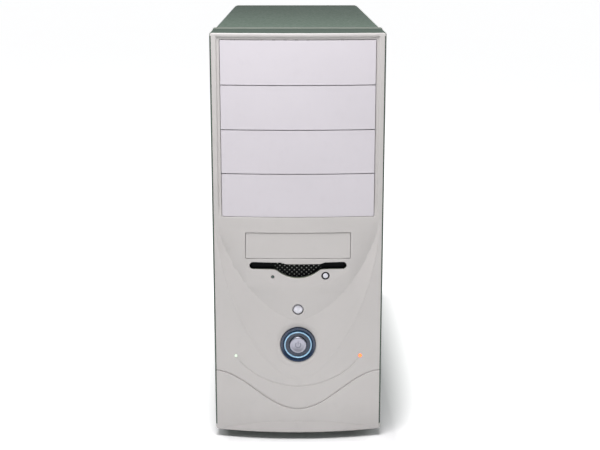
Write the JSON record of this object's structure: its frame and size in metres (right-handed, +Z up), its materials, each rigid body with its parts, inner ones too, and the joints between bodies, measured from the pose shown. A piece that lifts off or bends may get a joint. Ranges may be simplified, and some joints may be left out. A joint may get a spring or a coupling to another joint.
{
  "type": "desktop computer tower",
  "caption": "Upright steel computer case with a bowed plastic front, covered drive bays, disk slot, push buttons and sliding side panels over working parts.",
  "frame": {"origin": "on the floor under the feet, in the middle of the whole object's width and depth", "axes": "+Z up; the front faces -Y; +X is on the right as seen from the front"},
  "size_m": [0.168, 0.467, 0.412],
  "materials": {
    "bezel_plastic": "light warm grey moulding, fine texture",
    "cover_plastic": "light grey moulding, fine texture",
    "cabinet_paint": "grey-green powder coat on steel",
    "bare_steel": "zinc-coated sheet steel",
    "screw_steel": "nickel-plated screws",
    "foot_rubber": "moulded rubber",
    "blue_lens": "translucent blue moulding",
    "bright_trim": "pale glossy ring",
    "silver_plastic": "silver lacquered plastic",
    "white_plastic": "white plastic",
    "green_lamp": "lamp lens",
    "orange_lamp": "lamp lens",
    "black_plastic": "black moulding",
    "board_green": "circuit board with solder mask",
    "board_dark": "power board",
    "heatsink_metal": "extruded aluminium",
    "drive_metal": "cast and pressed drive case",
    "socket_plastic": "ivory connector plastic",
    "card_plastic": "white connector plastic"
  },
  "bodies": {
    "chassis": {"front_bezel": "bezel_plastic", "bay_cover_1": "cover_plastic", "bay_cover_2": "cover_plastic", "bay_cover_3": "cover_plastic", "bay_cover_4": "cover_plastic", "small_bay_cover": "cover_plastic", "power_ring": "blue_lens", "power_ring_trim": "bright_trim", "switch_board": "board_green", "power_led": "green_lamp", "disk_led": "orange_lamp", "floppy_led": "green_lamp", "speaker": "black_plastic", "base_pan": "bare_steel", "front_plate": "bare_steel", "rear_plate": "bare_steel", "top_rails": "bare_steel", "motherboard_tray": "bare_steel", "bay_cage": "bare_steel", "small_cage": "bare_steel", "top_cover": "cabinet_paint", "chassis_screws": "screw_steel", "feet": "foot_rubber", "psu_case": "bare_steel", "psu_fan_frame": "black_plastic", "psu_fan_guard": "screw_steel", "mains_inlet": "black_plastic", "mains_switch_housing": "black_plastic", "selector_housing": "black_plastic", "psu_board": "board_dark", "motherboard": "board_green", "processor_socket": "socket_plastic", "processor_heatsink": "heatsink_metal", "cooler_fan_frame": "black_plastic", "memory_sockets": "black_plastic", "memory_modules": "board_green", "card_sockets": "card_plastic", "board_parts": "heatsink_metal", "io_shield": "bare_steel", "rear_ports": "socket_plastic", "slot_brackets": "bare_steel", "graphics_card": "board_green", "graphics_heatsink": "heatsink_metal", "floppy_drive": "drive_metal", "floppy_face": "black_plastic", "hard_drive": "drive_metal", "hard_drive_board": "board_green"},
    "left_panel": {"left_side_panel": "cabinet_paint", "left_thumbscrews": "screw_steel"},
    "right_panel": {"right_side_panel": "cabinet_paint", "right_thumbscrews": "screw_steel"},
    "power_button": {"power_button": "silver_plastic"},
    "reset_button": {"reset_button": "white_plastic"},
    "eject_button": {"eject_button": "white_plastic"},
    "floppy_flap": {"floppy_flap": "black_plastic"},
    "psu_fan": {"psu_fan_rotor": "black_plastic"},
    "cooler_fan": {"cooler_fan_rotor": "black_plastic"},
    "mains_rocker": {"mains_switch_rocker": "black_plastic"},
    "voltage_slider": {"voltage_selector": "orange_lamp"}
  },
  "joints": [
    {"name": "left_panel_slide", "type": "slide", "parent": "chassis", "child": "left_panel", "axis": [0, 1, 0], "range_m": [0, 0.36]},
    {"name": "right_panel_slide", "type": "slide", "parent": "chassis", "child": "right_panel", "axis": [0, 1, 0], "range_m": [0, 0.36]},
    {"name": "power_press", "type": "slide", "parent": "chassis", "child": "power_button", "axis": [0, 1, 0], "range_m": [0, 0.002], "stiffness_N_per_m": 500, "springref_m": -0.001},
    {"name": "reset_press", "type": "slide", "parent": "chassis", "child": "reset_button", "axis": [0, 1, 0], "range_m": [0, 0.0015], "stiffness_N_per_m": 500, "springref_m": -0.001},
    {"name": "eject_press", "type": "slide", "parent": "chassis", "child": "eject_button", "axis": [0, 1, 0], "range_m": [0, 0.004], "stiffness_N_per_m": 300, "springref_m": -0.001},
    {"name": "flap_hinge", "type": "hinge", "parent": "chassis", "child": "floppy_flap", "pos_m": [0, -0.22115, 0.1846], "axis": [1, 0, 0], "range_deg": [0, 86], "stiffness_Nm_per_rad": 0.002, "springref_deg": -22.92},
    {"name": "psu_fan_spin", "type": "hinge", "parent": "chassis", "child": "psu_fan", "pos_m": [-0.018, 0.2107, 0.367], "axis": [0, 1, 0], "continuous": true},
    {"name": "cooler_fan_spin", "type": "hinge", "parent": "chassis", "child": "cooler_fan", "pos_m": [0.022, 0.1495, 0.256], "axis": [1, 0, 0], "continuous": true},
    {"name": "mains_switch", "type": "hinge", "parent": "chassis", "child": "mains_rocker", "pos_m": [0.04, 0.2197, 0.347], "axis": [1, 0, 0], "range_deg": [-16, 0]},
    {"name": "voltage_select", "type": "slide", "parent": "chassis", "child": "voltage_slider", "axis": [0, 0, 1], "range_m": [0, 0.006]}
  ]
}
